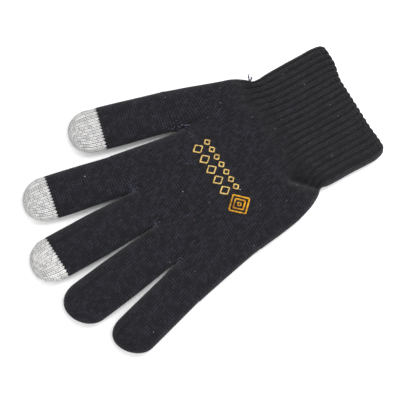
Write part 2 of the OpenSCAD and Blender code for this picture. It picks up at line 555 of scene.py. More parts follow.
@dataclass(frozen=True)
class KnitFinish:
    """Brushed yarn, knitted: matt, with a soft halo of loose fibre, and painted shade between the stitches.

    Attributes:
        name: the material's name.
        groove: colour deep between stitches, painted shade.
        leg: colour on the stitches.
        painted_highlight: colour of the lightest fibres, a painted highlight on the stitches' crests.
        roughness: the yarn's roughness.
        sheen: weight of the fibre halo.
        flecks: how far single stitches differ, from 0 to 1.
        streaks: how far the fibre along a stitch differs, from 0 to 1.
        lint: whether specks of lint lie in it.
        metallic: share of metal in the yarn.
    """

    name: str
    groove: str
    leg: str
    painted_highlight: str
    roughness: float = 0.95
    sheen: float = 0.12
    flecks: float = 0.25
    streaks: float = 0.7
    lint: bool = True
    metallic: float = 0.0

    def make(self) -> bpy.types.Material:
        """Builds the node material.

        Fibre streaks are noise on the knit's own UV map, nine to a wale and three to a course. They and a
        tone of each stitch's own are added to the relief, which picks the colour from painted shade in the
        groove to a painted highlight on the crest.

        Returns:
            The material.
        """
        material, tree, shader = blank(self.name)
        place = add(tree, "ShaderNodeTexCoord").outputs["Object"]
        knit = add(tree, "ShaderNodeUVMap", {"uv_map": "Knit"})
        plies = add(tree, "ShaderNodeVectorMath", {"operation": "MULTIPLY"}, i0=knit, i1=(9.0, 3.0, 1.0))
        streak = add(tree, "ShaderNodeTexNoise", Vector=plies, Scale=1.0, Detail=3.0, Roughness=0.7)
        cells = add(tree, "ShaderNodeVectorMath", {"operation": "FLOOR"}, i0=knit)
        single = add(tree, "ShaderNodeTexWhiteNoise", {"noise_dimensions": "2D"}, Vector=cells)
        height = add(tree, "ShaderNodeAttribute", {"attribute_name": "relief"}).outputs["Fac"]
        for wander, amount in ((streak, self.streaks), (single, self.flecks)):
            apart = add(
                tree, "ShaderNodeMath", {"operation": "MULTIPLY_ADD"}, i0=wander, i1=amount, i2=-amount / 2
            )
            height = add(tree, "ShaderNodeMath", {"operation": "ADD"}, i0=height, i1=apart)
        # The stops: painted shade in the grooves, the yarn's own colour on the legs, a painted highlight on
        # the crests.
        stops = ((0.12, self.groove), (0.55, self.leg), (1.0, self.painted_highlight))
        yarn = add(tree, "ShaderNodeValToRGB", {"stops": stops}, Fac=height)
        mottle = add(tree, "ShaderNodeTexNoise", Vector=place, Scale=per_mm(14), Detail=3.0)
        shade = add(tree, "ShaderNodeMapRange", Value=mottle, To_Min=0.86, To_Max=1.14)
        multiply = {"data_type": "RGBA", "blend_type": "MULTIPLY"}
        colour = add(tree, "ShaderNodeMix", multiply, i0=1.0, i6=yarn, i7=shade).outputs[2]
        if self.lint:
            colour = self._lint(tree, place, colour)
        fuzz = add(tree, "ShaderNodeTexNoise", Vector=place, Scale=per_mm(0.45), Detail=5.0, Roughness=0.75)
        lumps = add(tree, "ShaderNodeMath", {"operation": "ADD"}, i0=fuzz, i1=streak)
        bump = add(tree, "ShaderNodeBump", Strength=0.7, Distance=0.22 * M_PER_MM, Height=lumps)
        feed(
            tree, shader, Base_Color=colour, Normal=bump, Roughness=self.roughness, Metallic=self.metallic,
            Sheen_Weight=self.sheen, Sheen_Roughness=0.45, Specular_IOR_Level=0.25,
        )
        return material

    def _lint(
        self, tree: bpy.types.NodeTree, place: bpy.types.NodeSocket, under: bpy.types.NodeSocket
    ) -> bpy.types.NodeSocket:
        """Lays pale and coloured specks of lint, each under half a millimetre, some 20 mm apart.

        Args:
            tree: the material's node tree.
            place: Object coordinates.
            under: the colour under the specks.

        Returns:
            The colour with specks.
        """
        spots = add(tree, "ShaderNodeTexVoronoi", Vector=place, Scale=per_mm(6.0))
        speck = add(tree, "ShaderNodeMath", {"operation": "LESS_THAN"}, i0=spots, i1=0.05)
        stops = ((0.0, "#8f8d88"), (0.4, "#5a2a30"), (0.6, "#323b66"), (0.9, "#b9b5aa"))
        tint = add(tree, "ShaderNodeValToRGB", {"stops": stops}, Fac=spots.outputs["Color"])
        return add(tree, "ShaderNodeMix", {"data_type": "RGBA"}, i0=speck, i6=under, i7=tint).outputs[2]


@dataclass(frozen=True)
class SatinThreadFinish:
    """Rayon machine embroidery thread: smooth and glossy, with light running along each thread.

    Attributes:
        name: the material's name.
        dark: colour of the darkest threads, painted shade.
        light: colour of the lightest, a painted highlight.
    """

    name: str
    dark: str
    light: str

    def make(self) -> bpy.types.Material:
        """Builds the node material: colour drifts along a band, and each thread is lighter or darker, as
        painted highlight and shade.
        """
        material, tree, shader = blank(self.name)
        place = add(tree, "ShaderNodeTexCoord").outputs["Object"]
        knit = add(tree, "ShaderNodeUVMap", {"uv_map": "Knit"})
        cells = add(tree, "ShaderNodeVectorMath", {"operation": "FLOOR"}, i0=knit)
        each = add(tree, "ShaderNodeTexWhiteNoise", {"noise_dimensions": "2D"}, Vector=cells)
        drift = add(tree, "ShaderNodeTexNoise", Vector=place, Scale=per_mm(6.0), Detail=2.0)
        both = add(tree, "ShaderNodeMath", {"operation": "MULTIPLY_ADD"}, i0=each, i1=0.45, i2=drift)
        # Painted shade at the dark stop and a painted highlight at the light stop, given to the threads at
        # random.
        stops = ((0.4, self.dark), (0.9, self.light))
        colour = add(tree, "ShaderNodeValToRGB", {"stops": stops}, Fac=both)
        grain = add(tree, "ShaderNodeTexNoise", Vector=place, Scale=per_mm(0.15), Detail=2.0)
        bump = add(tree, "ShaderNodeBump", Strength=0.3, Distance=0.05 * M_PER_MM, Height=grain)
        feed(tree, shader, Base_Color=colour, Normal=bump, Roughness=0.38, Specular_IOR_Level=0.25)
        return material


@dataclass(frozen=True)
class FeltFinish:
    """Thin non-woven felt or covered elastic: matt, with fine matted fibre.

    Attributes:
        name: the material's name.
        dark: colour between the fibres.
        light: colour of the fibres.
        fibre: size of the matted clumps, in millimetres.
    """

    name: str
    dark: str
    light: str
    fibre: float

    def make(self) -> bpy.types.Material:
        """Builds the node material: one noise, the size of the fibre, gives the colour and the bump."""
        material, tree, shader = blank(self.name)
        place = add(tree, "ShaderNodeTexCoord").outputs["Object"]
        scale = per_mm(self.fibre)
        matted = add(tree, "ShaderNodeTexNoise", Vector=place, Scale=scale, Detail=6.0, Distortion=1.5)
        stops = ((0.3, self.dark), (0.7, self.light))
        colour = add(tree, "ShaderNodeValToRGB", {"stops": stops}, Fac=matted)
        bump = add(tree, "ShaderNodeBump", Strength=0.5, Distance=0.1 * M_PER_MM, Height=matted)
        feed(tree, shader, Base_Color=colour, Normal=bump, Roughness=0.9)
        return material


class Finish(Enum):
    """The finishes of the glove."""

    # Brushed acrylic drinks light: a dull black with grey fibre on the stitches, partly a painted highlight;
    # painted shade lies between the stitches.
    BLACK = KnitFinish("Acrylic_knit_brushed_black", "#010102", "#0e0e13", "#484859")
    # The same yarn drawn up in ribs, less brushed and so a little more even; painted shade in the rib
    # grooves.
    RIB = KnitFinish("Acrylic_rib_knit_black", "#010102", "#151519", "#3e3e47")
    # Nylon plated with silver: pale grey, hardly a metal to the eye because each filament is so fine.
    # Its dark groove colour is painted shade between the stitches and its near-white one a painted highlight.
    SILVER = KnitFinish(
        "Silver_plated_yarn_knit", "#4a4a4e", "#c6c5c4", "#f0efec",
        roughness=0.62, sheen=0.1, flecks=0.2, streaks=0.8, lint=False, metallic=0.1,
    )
    # Rayon thread: it shines along each stitch and turns darker across it.
    PALE_GOLD = SatinThreadFinish("Rayon_thread_satin_pale_gold", "#83652f", "#cdb06a")
    DEEP_GOLD = SatinThreadFinish("Rayon_thread_satin_deep_gold", "#5a3206", "#cb9310")
    # Pressed fibre for the patch behind the stitching, and spun cover on the elastic.
    BACKING = FeltFinish("Stabiliser_felt_white", "#d9d6cf", "#f2f0ea", 0.6)
    ELASTIC = FeltFinish("Covered_elastic_black", "#0d0d0f", "#2a2a2c", 0.4)


MADE: dict[str, bpy.types.Material] = {}


def dress(obj: bpy.types.Object, finish: Finish) -> bpy.types.Object:
    """Puts a finish on a piece and reports the piece.

    Args:
        obj: the piece.
        finish: which finish.

    Returns:
        The piece.
    """
    if finish.value.name not in MADE:
        MADE[finish.value.name] = finish.value.make()
    obj.data.materials.clear()
    obj.data.materials.append(MADE[finish.value.name])
    LOG.info("%s: %d faces", obj.name, len(obj.data.polygons))
    return obj


def dress_node(node: str, finish: Finish) -> None:
    """Puts a finish on a CAD node that stays in view.

    Args:
        node: the node's name.
        finish: which finish.
    """
    slots = frame["nodes"][node].data.materials
    slots.clear()
    slots.append(finish.value.make())
    LOG.info("%s: %s", node, finish.value.name)


def metres(x: float, y: float, z: float = 0.0) -> tuple[float, float, float]:
    """A point in millimetres as one in metres."""
    return (x * M_PER_MM, y * M_PER_MM, z * M_PER_MM)


def fold_back(piece: bpy.types.Object) -> None:
    """Bakes a piece's place into its mesh; it bends nothing.

    Args:
        piece: the piece.
    """
    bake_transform(piece)


# ---------------------------------------------------------------- stalls

@dataclass
class Stall:
    """One finger or the thumb: a flat knitted tube that ends in a round tip.

    Attributes:
        name: finger's name, as in the frame's joints.
        tip_node: CAD node of the tip.
        nodes: CAD nodes behind the tip, from the root.
        bodies: CAD bodies from the hand outwards.
        square_root: whether the root crease is square to the stall, as the thumb's is, and not along X.
        conductive: whether the tip is knitted in silver yarn.
        root_half_w: half width at the root.
        full_half_w: half width past the root.
        root_thick: thickness at the root.
        thick: thickness further on.
        bend: length of knit that a crease takes.
        trim: how much longer the knit is than its tip's box.
        skew: how far the very tip lies off the stall's line.
        flare: how much wider the root is on the thumb's side.
        widen_over: distance over which the root eases to the full width.
        thin_over: distance over which it eases to the full thickness.
        square_over: distance over which rows along the root crease come square to the stall.
        flare_over: distance over which the flare dies away.
        fold_round: how far in from each side fold the root is round.
        fold_loss: how much less that is further on.
        crown: share of the thickness that the flat loses at the folds.
        creases: distances of the creases from the root, found from the frame.
    """

    name: str
    tip_node: str
    nodes: tuple[str, ...]
    bodies: tuple[str, ...]
    square_root: bool = False
    conductive: bool = False
    root_half_w: float = 12.15
    full_half_w: float = 13.2
    root_thick: float = 8.3
    thick: float = 7.7
    bend: float = 5.0
    trim: float = 0.0
    skew: float = 0.0
    flare: float = 0.0
    widen_over: float = 36.0
    thin_over: float = 14.0
    square_over: float = 12.0
    flare_over: float = 40.0
    fold_round: float = 5.6
    fold_loss: float = 0.6
    crown: float = 0.12
    creases: list[float] = field(default_factory=list)

    def __post_init__(self) -> None:
        """Reads the stall's line from the frame's joints and its length from the tip's box."""
        knuckle = joint(f"{self.name}_knuckle")
        self.root = joint_mm(f"{self.name}_root")[:2]
        self.side = np.array(knuckle["axis"][:2])
        self.way = np.array([-self.side[1], self.side[0]])
        self.creases = [float((joint_mm(f"{self.name}_knuckle")[:2] - self.root) @ self.way)]
        low, high = box_mm(self.tip_node)
        cap_y = high[1] - self.full_half_w
        self.length = float((cap_y - self.root[1]) / self.way[1]) + self.full_half_w + self.trim
        if self.square_root:
            near = low[1] + self.full_half_w * abs(self.side[1])
            self.yarn_change = float((near - self.root[1]) / self.way[1])
        else:
            self.creases.append(float((joint_mm(f"{self.name}_end_knuckle")[:2] - self.root) @ self.way))
            self.yarn_change = self.creases[1]

    def cloth(self) -> Cloth:
        """Works out the whole stall as one grid.

        The half width eases out from the root, then follows a quarter circle to the tip. The thickness
        falls as the square root of 1 less the fourth power of the sine round the tip. The skew grows as the
        square of that sine, and the flare as the share of the width from the far fold. Each row is shifted
        into a line of V's, and the stitches' relief is laid along the normals.

        Returns:
            The grid, from the root to the tip.
        """
        g = GAUGE
        cap = self.full_half_w
        straight = self.length - cap
        past = straight - self.yarn_change + cap * math.pi / 2
        self.change_row = g.rows(self.yarn_change)
        far = np.concatenate([
            np.linspace(0, self.yarn_change, self.change_row + 1),
            self.yarn_change + np.linspace(0, past, g.rows(past) + 1)[1:],
        ])
        course = np.arange(len(far)) / g.rows_per_course
        last_turn = math.pi / 2 - 0.03  # the point itself is left to the closing faces
        angle = np.clip((far - straight) / cap, 0, last_turn)[:, None]

        over = np.arange(g.cols + 1) / g.cols
        c = np.concatenate([over, over[-2:0:-1]])[None, :]
        up = np.concatenate([np.ones(g.cols + 1), -np.ones(g.cols - 1)])[None, :]
        wale = np.arange(len(c[0]) + 1) / g.cols_per_wale

        lean = g.lean_of(wale[:-1])[None, :] * g.course * np.cos(angle) ** 2
        s = far[:, None] + lean
        turn = np.clip((s - straight) / cap, 0, last_turn)
        line = np.where(s > straight, straight + cap * np.sin(turn), s)

        half_w = self.root_half_w + (self.full_half_w - self.root_half_w) * ease(s / self.widen_over)
        half_w = half_w * np.cos(turn)
        puff = np.sqrt(1 - np.sin(turn) ** 4)
        thinned = ease(s / self.thin_over)
        thick = (self.root_thick + (self.thick - self.root_thick) * thinned) * puff
        round_w = np.minimum(self.fold_round - self.fold_loss * thinned, 0.98 * half_w)
        x, z = lying_section(c, half_w, thick, round_w, self.crown)
        if not self.square_root:
            tilt = self.side[1] / self.side[0]
            line = line - x * tilt * (1 - ease(s / self.square_over))
        points = np.empty((*x.shape, 3))
        flared = self.flare / 2 * (1 + x / half_w) * (1 - ease(s / self.flare_over))
        x = x + self.skew * np.sin(turn) ** 2 + flared
        points[..., :2] = self.root + line[..., None] * self.way + x[..., None] * self.side
        points[..., 2] = BASE_Z + up * z
        points = DRAPE.settle(points)
        relief = g.stitch(wale[:-1][None, :], course[:, None])
        amount = g.relief * np.cos(turn) ** 0.7
        points = rest_on_floor(points + normals_of(points, True) * (amount * relief)[..., None])
        return Cloth(points, wale, course, relief, True, False, True)

    def row_at(self, far: float) -> int:
        """The row that starts a course nearest to a distance from the root."""
        per = GAUGE.rows_per_course
        return round(far / self.yarn_change * self.change_row / per) * per

    def along(self, far: float) -> tuple[float, float, float]:
        """The point on the stall's line at a distance from the root, in metres."""
        return metres(*(self.root + far * self.way))

    def build(self, cloth: Cloth) -> None:
        """Cuts the grid at rows that lie between creases, and makes a piece of each stretch.

        Args:
            cloth: the whole stall.
        """
        first = self.creases[0]
        cuts = [0, self.row_at(first / 2 + 2.5)]
        if not self.square_root:
            cuts.append(self.row_at((first + self.creases[1]) / 2))
        cuts.append(self.change_row)
        cuts.append(len(cloth.course) - 1)
        if self.square_root:
            root_far = self.root + 2 * (self.bend - 0.5) * self.way
        else:
            root_far = self.root + np.array([0, 2 * self.bend])
        spans = [(self.bodies[0], self.bodies[1], metres(*self.root), metres(*root_far))]
        for i, crease in enumerate(self.creases):
            ends = (self.along(crease - self.bend), self.along(crease + self.bend))
            spans.append((self.bodies[i + 1], self.bodies[i + 2], *ends))
        spans.append(spans[-1])
        labels = [*["root", "knuckle", "end"][: len(spans) - 1], "tip"]
        nodes = [*self.nodes, None][: len(spans) - 1] + [self.tip_node]
        for i, (label, node, (body_a, body_b, start, end)) in enumerate(zip(labels, nodes, spans)):
            piece = cloth.part(cuts[i], cuts[i + 1]).mesh(f"{self.name}_{label}_knit")
            if label == "tip" and self.conductive:
                dress(piece, Finish.SILVER)
            else:
                dress(piece, Finish.BLACK)
            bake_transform(piece)
            if node:
                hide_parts(node)


# ---------------------------------------------------------------- hand and cuff

@dataclass
class Shell:
    """The hand and the cuff: one wide knitted tube, narrow at the wrist, that divides into the stalls.

    Attributes:
        left: outline on the little finger's side, as (y, x).
        right: outline on the thumb's side.
        index_side: outline between the thumb and the index finger.
        thickness: thickness along y.
        round_w: how far in from each side fold the hand is round.
        cuff_round_w: the same in the cuff.
        cuff_round_y: where the cuff's round starts to take over.
        cuff_round_run: distance over which it takes over.
        least_round: least that the round reaches in, inside the knit.
        strip_y: line between the hand and the wrist.
        cuff_y: line between the fixed half of the cuff and the half that turns back.
        knit_wall: thickness of the knit.
        groove: length of the grooves between the stalls.
        pull: distance over which the columns are drawn to the stalls.
        fan: how far to both sides the inner columns average the outline at the wrist.
        fan_back: y at which that starts, over fan_back_run.
        fan_front: y at which it ends, over fan_front_run.
        gather_y: y at which the ribs start to fade into gathers, over gather_run.
        coarse_y: y below which the rows lie in coarse V's.
        fine_y: y above which they lie in fine V's.
        wrist_y: y below which the stitches are coarse.
        change_run: distance over which each of these three changes.
        border: gap between two stalls' wales, in columns.
        crown: share of the thickness that the flat loses at the folds.
    """

    left: Outline = (
        (-107, -32.0), (-104.5, -34.6), (-101, -35.7), (-92, -36.1), (-80, -35.9), (-68, -36.1),
        (-63, -35.9), (-60, -35.3), (-58, -35.9), (-55.5, -38.6), (-51, -41.9), (-41, -46.0),
        (-26, -49.1), (-8, -51.4), (11, -55.4), (35, -60.8),
    )
    right: Outline = (
        (-107, 37.2), (-104.5, 39.4), (-101, 40.1), (-92, 40.0), (-80, 39.7), (-68, 39.3),
        (-63, 38.9), (-60.5, 39.4), (-56.5, 43.2), (-51, 46.9), (-44, 49.8), (-34, 53.3),
        (-22, 57.5), (-10.5, 61.0), (0, 64.2),
    )
    index_side: Outline = ((-12, 35.2), (-4, 34.9), (10, 36.6), (24, 38.8), (35, 40.4))
    thickness: Outline = (
        (-107, 7.0), (-85, 7.0), (-66, 6.8), (-60, 6.3), (-50, 7.6), (-30, 8.2), (0, 8.3), (35, 8.3),
    )
    round_w: float = 5.6
    cuff_round_w: float = 3.2
    cuff_round_y: float = -44.0
    cuff_round_run: float = 14.0
    least_round: float = 2.0
    strip_y: float = -48.0
    cuff_y: float = -74.0
    knit_wall: float = 1.6
    groove: float = 8.0
    pull: float = 31.0
    fan: float = 11.0
    fan_back: float = -86.0
    fan_back_run: float = 8.0
    fan_front: float = -30.0
    fan_front_run: float = 16.0
    gather_y: float = -61.0
    gather_run: float = 17.0
    coarse_y: float = -60.5
    fine_y: float = -59.5
    wrist_y: float = -59.0
    change_run: float = 3.0
    border: float = 0.3
    crown: float = 0.05

    def columns(self, stalls: int) -> tuple[Array, Array]:
        """Places of the columns over one face, with two close columns at each border between stalls.

        Args:
            stalls: how many stalls' wales lie side by side.

        Returns:
            Each column's share of the way across, and its place in wales.
        """
        i = np.arange(GAUGE.cols + 1)
        k = np.arange(stalls)[:, None]
        total = stalls * GAUGE.cols + (stalls - 1) * self.border
        share = (k * (GAUGE.cols + self.border) + i) / total
        wale = k * GAUGE.wales_per_side + i / GAUGE.cols_per_wale
        return share.ravel(), wale.ravel()

    def face(self, share: Array, y: Array, right: Outline, inset: float = 0.0) -> Array:
        """Upper half of the smooth tube: the lying section between the two outlines at y.

        At the wrist the columns away from the folds follow a calmer outline, the mean of five places up to
        the fan's reach before and behind, so that the ribs run on without a kink.

        Args:
            share: columns' share of the way across.
            y: place of every point along the glove.
            right: outline on the right.
            inset: distance in from the outer surface.

        Returns:
            Points with z as the height over the middle plane.
        """
        lo, hi = through(self.left, y), through(right, y)
        half_w = (hi - lo) / 2 - inset
        thick = through(self.thickness, y) - 2 * inset
        in_cuff = ease((self.cuff_round_y - y) / self.cuff_round_run)
        round_w = self.round_w + (self.cuff_round_w - self.round_w) * in_cuff
        round_w = np.maximum(round_w - inset, self.least_round)
        x, z = lying_section(share, half_w, thick, round_w, self.crown)
        near = y + np.linspace(-self.fan, self.fan, 5).reshape(-1, *[1] * np.ndim(y))
        calm_lo, calm_hi = through(self.left, near).mean(0), through(right, near).mean(0)
        calm = (calm_lo + calm_hi) / 2 + x / half_w * ((calm_hi - calm_lo) / 2 - inset)
        at_wrist = ease((y - self.fan_back) / self.fan_back_run)
        at_wrist = at_wrist * ease((self.fan_front - y) / self.fan_front_run)
        inner = at_wrist * (1 - np.abs(x / half_w) ** 4)
        x = x + (lo + hi) / 2
        x = x + inner * (calm - x)
        return np.stack([x, np.broadcast_to(y, x.shape), z], -1)

    def ring(self, upper: Array) -> Array:
        """Closes a face into a tube with its mirror image below the middle plane.

        Args:
            upper: upper half, with z as the height over the middle plane.

        Returns:
            The tube, with z over the floor.
        """
        lower = upper[:, -2:0:-1] * np.array([1.0, 1.0, -1.0])
        both = np.concatenate([upper, lower], 1)
        both[..., 2] += BASE_Z
        return both

    def ring_wales(self, wale: Array) -> Array:
        """The wale of every column round the tube, and one more to close it."""
        total = wale[-1]
        return np.concatenate([wale, 2 * total - wale[-2:0:-1], [2 * total]])

    def rib_fade(self, y: Array) -> Array:
        """How strong the ribs are: whole in the cuff, and dying away as gathers in the hand."""
        return 1 - ease((y - self.gather_y) / self.gather_run) ** 0.7

    def knit(self, smooth: Array, wale: Array, course: Array, wrap: bool = True) -> tuple[Array, Array]:
        """Lays stitches and ribs on a smooth grid, along its normals.

        Near the side folds the grooves between the ribs close, so that the outline stays even.

        Args:
            smooth: points of the grid.
            wale: wale of every column.
            course: course of every row.
            wrap: whether the grid closes.

        Returns:
            The knitted points and their relief, which drops in the grooves between the ribs as painted shade.
        """
        g = GAUGE
        y = smooth[..., 1]
        ribbed = self.rib_fade(y)
        in_cuff = ease((self.wrist_y - y) / self.change_run)
        fine = g.stitch(wale[None, :], course[:, None])
        coarse = g.stitch(wale[None, :] / 2, course[:, None])
        stitch = fine * (1 - in_cuff) + coarse * in_cuff
        across = wale[-1] / 2 if wrap else wale[-1]
        from_fold = np.minimum(wale % across, -wale % across)
        rib = 1 - (1 - g.rib(wale)[None, :]) * ease((from_fold - 2.0) / 1.5)[None, :]
        height = g.relief * stitch + g.rib_relief * ribbed * rib
        points = rest_on_floor(smooth + normals_of(smooth, wrap) * height[..., None])
        # The relief that the finish reads drops in the grooves between the ribs: painted shade there, over
        # the real grooves.
        relief = stitch * (1 - ribbed * (1 - rib) ** 1.2)
        return points, relief

    def lean(self, y: Array, wale: Array, plain: float | None = None) -> Array:
        """Shift that turns rows into V's: fine in the hand, coarse in the cuff, none between the two.

        Args:
            y: place of every point along the glove.
            wale: wale of every column.
            plain: a place where the rows stay straight, if any.

        Returns:
            The shift along y.
        """
        g = GAUGE
        fine = g.lean_of(wale) * ease((y - self.fine_y) / self.change_run)
        coarse = g.lean_of(wale / 2) * ease((self.coarse_y - y) / self.change_run)
        ends = 1.0 if plain is None else ease(np.abs(y - plain) / 2.5)
        return g.course * ends * (fine + coarse)

    def stretch(
        self, first: float, last: Array | float, stalls: int, right: Outline, plain: float | None = None
    ) -> tuple[Array, Array, Array]:
        """Works out a smooth stretch of tube between two lines.

        Rows lie evenly between the first line and a level that joins the middles of the stalls. What is left
        to the last line is added by the fourth power of the way there, so only the last rows bend with it.

        Args:
            first: y of the first row before it is turned into V's.
            last: y of the last row, one for each column or one for all.
            stalls: how many stalls' wales it has.
            right: outline on the right.
            plain: a place where the rows stay straight, if any.

        Returns:
            The upper face, the wale of each of its columns and the course of each row.
        """
        share, wale = self.columns(stalls)
        last = np.broadcast_to(last, share.shape)
        rows = GAUGE.rows(float(np.median(last)) - first)
        t = np.linspace(0, 1, rows + 1)[:, None]
        middle = (np.arange(stalls) + 0.5) / stalls
        level = np.interp(share, middle, np.interp(middle, share, last))
        y = first + t * (level - first) + t**4 * (last - level)
        y = y + self.lean(y, wale, plain)
        return self.face(share, y, right), wale, np.arange(rows + 1) / GAUGE.rows_per_course

    def divide(self, upper: Array, front: Array) -> Array:
        """Draws the front of a stretch towards the sections that it divides into.

        In height a point is drawn by the square of how near it is, over the groove's length, so a groove
        starts sharp between two stalls and dies away in the hand. Across the hand all columns of a row are
        drawn by the same eased share of the pull, in straight lines between the borders of the stalls, and
        each is drawn to its own place only where the groove starts.

        Args:
            upper: smooth upper face.
            front: its last row as the stalls want it, with z over the middle plane.

        Returns:
            The face with the grooves in it.
        """
        short = front[None, :, 1] - upper[..., 1]
        deep = np.clip(1 - short / self.groove, 0, 1) ** 2
        t = np.linspace(0, 1, len(upper))[:, None]
        wide = ease(1 - (1 - t) * float(np.median(short[0])) / self.pull)
        per = GAUGE.cols + 1
        share = self.columns(len(front) // per)[0]
        miss = front[:, 0] - upper[-1, :, 0]
        edge = np.arange(per, len(front), per)
        places = np.concatenate([share[:1], share[edge], share[-1:]])
        at_borders = np.concatenate([miss[:1], (miss[edge - 1] + miss[edge]) / 2, miss[-1:]])
        even = np.interp(share, places, at_borders)
        mixed = upper.copy()
        mixed[..., 0] += wide * even + deep * (miss - even)
        mixed[..., 2] += deep * (front[None, :, 2] - upper[..., 2])
        return mixed


@dataclass
class Glove:
    """The whole shell, put together from the cuff to the stalls.

    Attributes:
        shell: the wide tube's sizes.
        stalls: the fingers, from the little finger's side.
        thumb: the thumb.
        scallop: how far the mouth's edge is drawn out at each rib.
        scallop_run: how far in from the edge that reaches.
        lining_y: where the inner face of the cuff closes.
        lining_lap: how far the closed lining reaches past the turn-back line.
        elastics: node of each band of threads, its body and its threads' places along the cuff.
        elastic_r: radius of an elastic thread.
        elastic_gap: how far inside the knit the threads lie.
    """

    shell: Shell
    stalls: list[Stall]
    thumb: Stall
    scallop: float = 0.4
    scallop_run: float = 4.0
    lining_y: float = -67.0
    lining_lap: float = 2.0
    elastics: tuple[tuple[str, str, tuple[float, ...]], ...] = (
        ("hem_elastic", "cuff_end", (-99.0,)),
        ("cuff_elastic", "cuff", (-72.0, -75.5, -79.0)),
    )
    elastic_r: float = 0.38
    elastic_gap: float = 0.25

    def build(self) -> None:
        """Makes the stalls, then the hand up to them, then the cuff."""
        fingers = [s.cloth() for s in self.stalls]
        thumb = self.thumb.cloth()
        for stall, cloth in zip([*self.stalls, self.thumb], [*fingers, thumb]):
            stall.build(cloth)
        self.upper = self._front_hand(fingers)
        self.lower = self._back_hand(thumb)
        self._wrist()
        self._turn_back()
        self._lining()

    def _root_row(self, cloth: Cloth) -> tuple[Array, Array]:
        """The upper and lower halves of a stall's first row."""
        n = GAUGE.cols
        row = cloth.points[0]
        return row[: n + 1], np.concatenate([row[:1], row[: n - 1 : -1]])

    def _hand_up_to(
        self, front: Array, under: Array, first: float, outline: Outline, name: str, nodes: tuple[str, ...]
    ) -> Cloth:
        """Knits a stretch of the hand up to the rows that meet it, as a piece that rides on the hand.

        Args:
            front: upper half of the row that it ends on.
            under: lower half of that row.
            first: y of its first row.
            outline: its outline on the right.
            name: the piece's name.
            nodes: CAD nodes that it stands for.

        Returns:
            The grid.
        """
        shell = self.shell
        stalls = len(front) // (GAUGE.cols + 1)
        last = front[:, 1] - GAUGE.course * GAUGE.lean_of(shell.columns(stalls)[1])
        upper, wale, course = shell.stretch(first, last, stalls, outline)
        upper = shell.divide(upper, front - np.array([0, 0, BASE_Z]))
        ring = shell.ring_wales(wale)
        points, relief = shell.knit(DRAPE.settle(shell.ring(upper)), ring[:-1], course)
        points[-1] = np.concatenate([front, under[-2:0:-1]])
        cloth = Cloth(points, ring, course, relief)
        piece = dress(cloth.mesh(name), Finish.BLACK)
        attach(piece, "hand")
        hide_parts(*nodes)
        return cloth

    def _front_hand(self, fingers: list[Cloth]) -> Cloth:
        """Knits the hand from the thumb's crotch to the finger roots."""
        rows = [self._root_row(f) for f in fingers]
        return self._hand_up_to(
            np.concatenate([r[0] for r in rows]), np.concatenate([r[1] for r in rows]),
            float(self.thumb.root[1] + self.thumb.root_half_w * self.thumb.side[1]),
            self.shell.index_side, "hand_front_knit",
            ("index_side_edge", "thumb_web", "index_middle_web", "middle_ring_web", "ring_little_web"),
        )

    def _back_hand(self, thumb: Cloth) -> Cloth:
        """Knits the hand from above the wrist to the thumb's root."""
        top, under = self._root_row(thumb)
        n = len(self.upper.wale) // 2 + 1
        behind = self.upper.points[0]
        return self._hand_up_to(
            np.concatenate([behind[:n], top]), np.concatenate([behind[:1], behind[: n - 2 : -1], under]),
            self.shell.strip_y, self.shell.right, "hand_back_knit",
            ("back_panel", "palm_panel", "thumb_side_edge", "little_side_edge"),
        )

    def _tube(self, first: float, last: float, plain: float | None = None) -> Cloth:
        """Knits a stretch of the wide tube between two lines, with straight rows at plain."""
        shell = self.shell
        upper, wale, course = shell.stretch(first, last, 5, shell.right, plain)
        ring = shell.ring_wales(wale)
        points, relief = shell.knit(DRAPE.settle(shell.ring(upper)), ring[:-1], course)
        return Cloth(points, ring, course, relief)

    def _wrist(self) -> None:
        """Knits the gathered strip of the hand and the fixed half of the cuff, round the wrist."""
        cloth = self._tube(self.shell.cuff_y, self.shell.strip_y)
        cloth.points[-1] = self.lower.points[0]
        self.cuff_row = cloth.points[0]
        piece = dress(cloth.mesh("wrist_rib_knit"), Finish.RIB)
        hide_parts("cuff_rib")
        fold_back(piece)

    def _turn_back(self) -> None:
        """Knits the half of the cuff that turns back, and the hem that rolls over its mouth and inside."""
        shell, g = self.shell, GAUGE
        low, high = box_mm("cuff_hem")
        self.hem_y = float(high[1])
        body = self._tube(self.hem_y, shell.cuff_y, self.hem_y)
        body.points[-1] = self.cuff_row
        piece = dress(body.mesh("turnback_rib_knit"), Finish.RIB)
        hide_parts("turnback_rib")
        fold_back(piece)

        lip = shell.knit_wall / 2
        mouth = float(low[1]) + lip
        n = g.rows(self.hem_y - mouth)
        turn = np.linspace(math.pi, 0, 9)[1:-1]
        out = np.linspace(self.hem_y, mouth, n + 1)
        back = np.linspace(mouth, self.hem_y, n + 1)
        y = np.concatenate([out, mouth - lip * np.sin(turn), back])
        inset = np.concatenate([np.full(n + 1, 2 * lip), lip * (1 - np.cos(turn)), np.zeros(n + 1)])
        share, wale = shell.columns(5)
        upper = np.stack([shell.face(share, np.array(v), shell.right, i) for v, i in zip(y, inset)])
        scallop = ease((self.hem_y - y) / self.scallop_run)[:, None] * g.rib(wale)[None, :]
        upper[..., 1] -= self.scallop * scallop
        ring = shell.ring_wales(wale)
        course = np.arange(len(y)) / g.rows_per_course
        points, relief = shell.knit(DRAPE.settle(shell.ring(upper)), ring[:-1], course)
        points[-1] = body.points[0]
        hem = Cloth(points, ring, course, relief).mesh("cuff_hem_knit")
        dress(hem, Finish.RIB)
        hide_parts("cuff_hem")
        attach(hem, "cuff_end")

